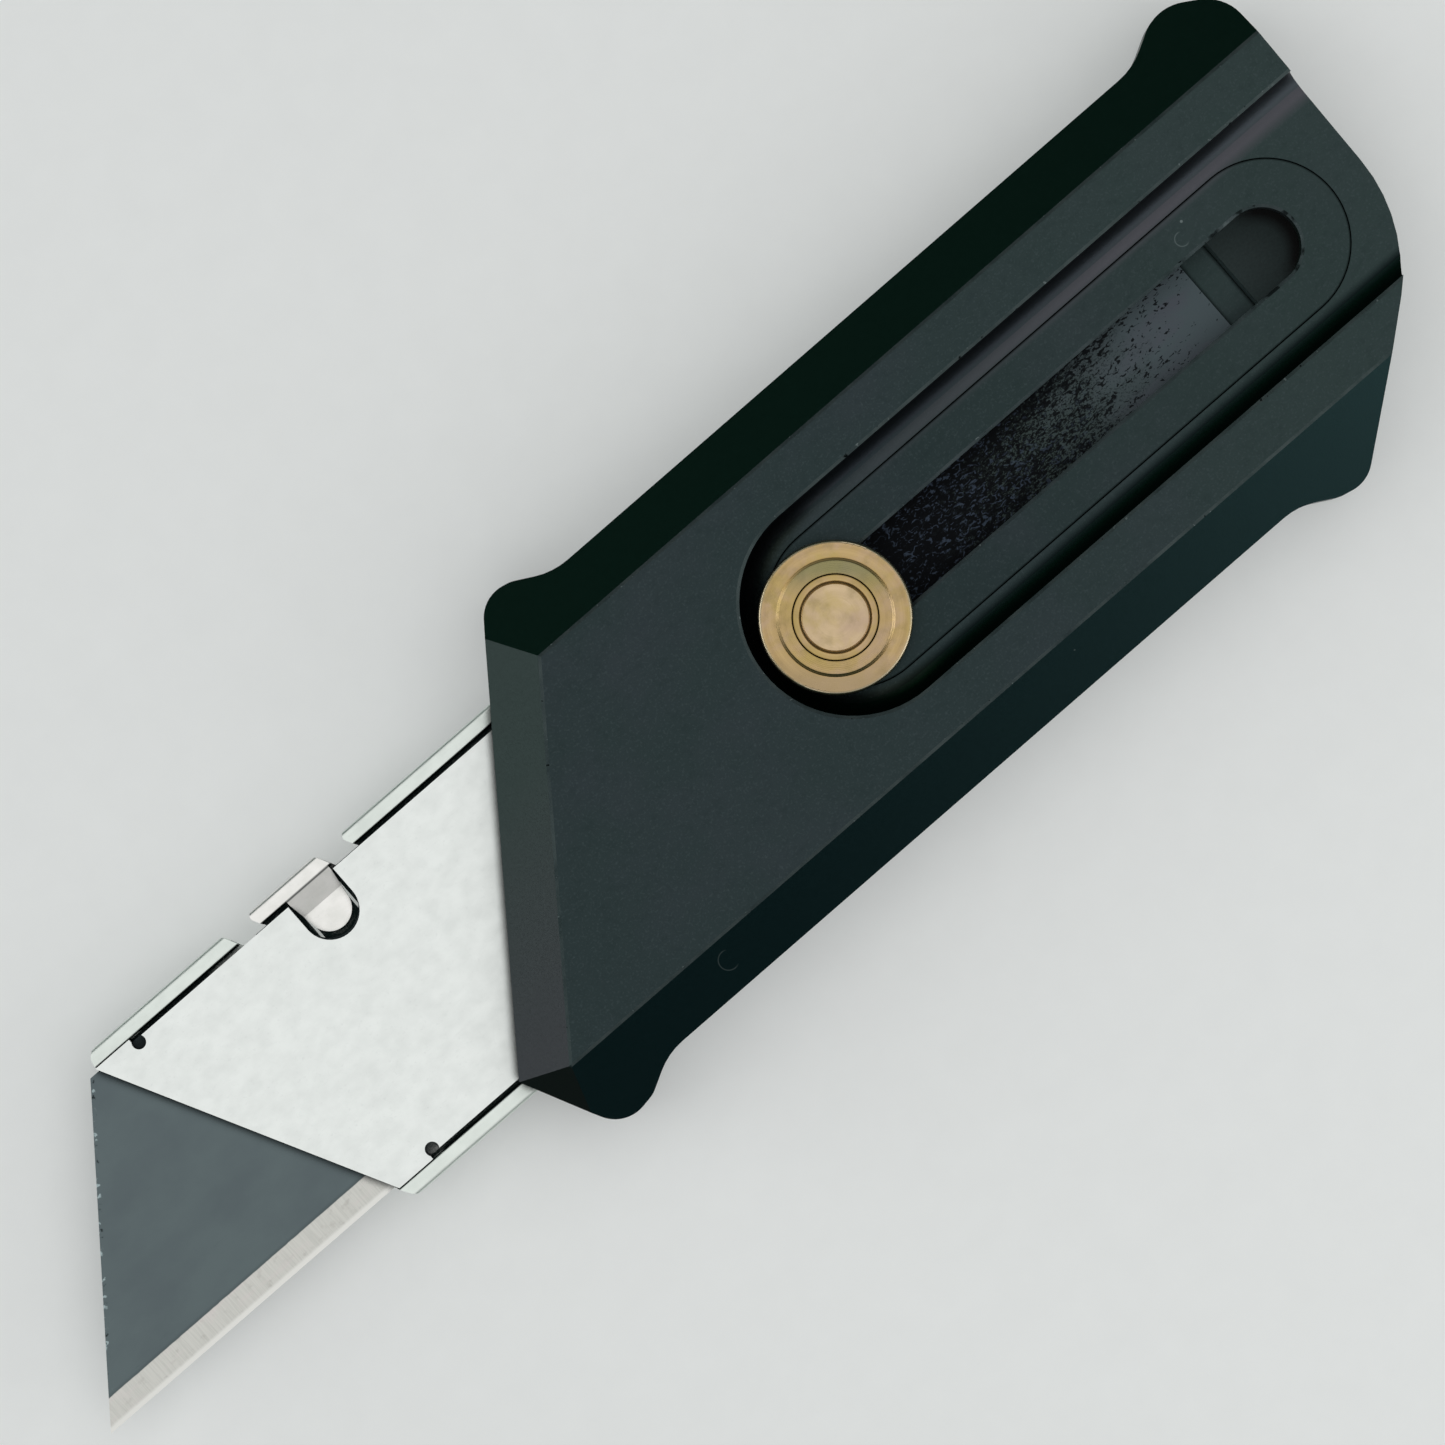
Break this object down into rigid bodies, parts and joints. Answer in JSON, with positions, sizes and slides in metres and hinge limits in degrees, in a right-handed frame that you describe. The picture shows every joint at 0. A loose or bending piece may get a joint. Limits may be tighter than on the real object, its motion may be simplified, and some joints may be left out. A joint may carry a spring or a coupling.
{
  "type": "utility knife",
  "caption": "Slim retractable utility knife with a milled metal handle, a stepped brass thumb button in a long slot, and a folded sheet-steel carrier that holds a trapezoid blade.",
  "frame": {"origin": "on the handle's back face, halfway along the handle and on its centre line", "axes": "+X towards the tail, -X towards the blade tip, +Y towards the spine side, +Z out of the face with the thumb channel"},
  "size_m": [0.1199, 0.0328, 0.0111],
  "materials": {
    "black_anodised": "fine bead-blasted black anodising, satin",
    "insert_anodised": "milled black anodising, satin",
    "wear_strip_steel": "worn satin steel with dark flecks",
    "black_nylon": "moulded black nylon",
    "black_oxide_steel": "black oxide",
    "bright_steel": "bright steel",
    "stainless_sheet": "tumbled stainless sheet",
    "stainless_spring": "stainless spring steel",
    "turned_brass": "fine-turned brass, slightly tarnished",
    "blade_steel": "grey lacquered face with a bright ground bevel"
  },
  "bodies": {
    "handle": {"front_shell": "black_anodised", "back_cover": "black_anodised", "slot_insert": "insert_anodised", "wear_strip": "wear_strip_steel", "rear_pad": "black_nylon", "cover_screws": "black_oxide_steel", "dowel_pins": "bright_steel"},
    "carrier": {"carrier_channel": "stainless_sheet", "carrier_plate": "stainless_sheet", "blade_latch": "stainless_spring", "blade_spacer": "stainless_sheet", "carrier_rivets": "bright_steel", "slider_block": "black_nylon", "lock_spring": "stainless_spring", "spring_rivets": "bright_steel"},
    "button": {"thumb_button": "turned_brass", "button_post": "turned_brass", "post_clip": "stainless_spring"},
    "blade": {"blade": "blade_steel"}
  },
  "joints": [
    {"name": "carrier_slide", "type": "slide", "parent": "handle", "child": "carrier", "axis": [1, 0, 0], "range_m": [0, 0.0379]},
    {"name": "button_press", "type": "slide", "parent": "carrier", "child": "button", "axis": [0, 0, -1], "range_m": [0, 0.0007], "stiffness_N_per_m": 300, "springref_m": -0.005, "deforming": ["lock_spring"]},
    {"name": "blade_pull", "type": "slide", "parent": "carrier", "child": "blade", "axis": [-1, 0, 0], "range_m": [0, 0.047], "deforming": ["blade_latch"]}
  ]
}
